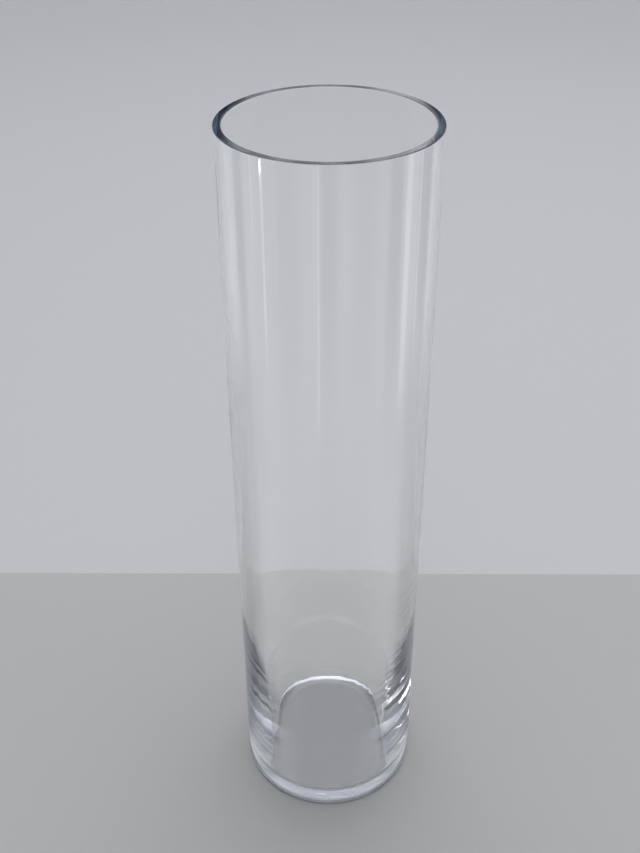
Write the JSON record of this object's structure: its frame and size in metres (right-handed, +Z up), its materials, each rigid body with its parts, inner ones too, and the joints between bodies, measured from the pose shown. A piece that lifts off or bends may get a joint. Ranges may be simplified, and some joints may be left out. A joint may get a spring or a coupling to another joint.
{
  "type": "glass cylinder vase",
  "caption": "Tall straight-sided clear glass cylinder vase, with a polished flat rim and a wall that thickens towards the foot",
  "frame": {"origin": "centre of the foot, on the surface that the vase stands on", "axes": "+Z up the axis of the cylinder; +X and +Y are any two perpendicular directions, because the vase is turned"},
  "size_m": [0.1, 0.1, 0.4],
  "materials": {
    "clear_glass": "clear soda-lime glass, fire-polished, faintly blue-grey through its thickness"
  },
  "bodies": {
    "root": {"glass_cylinder": "clear_glass"}
  },
  "joints": []
}
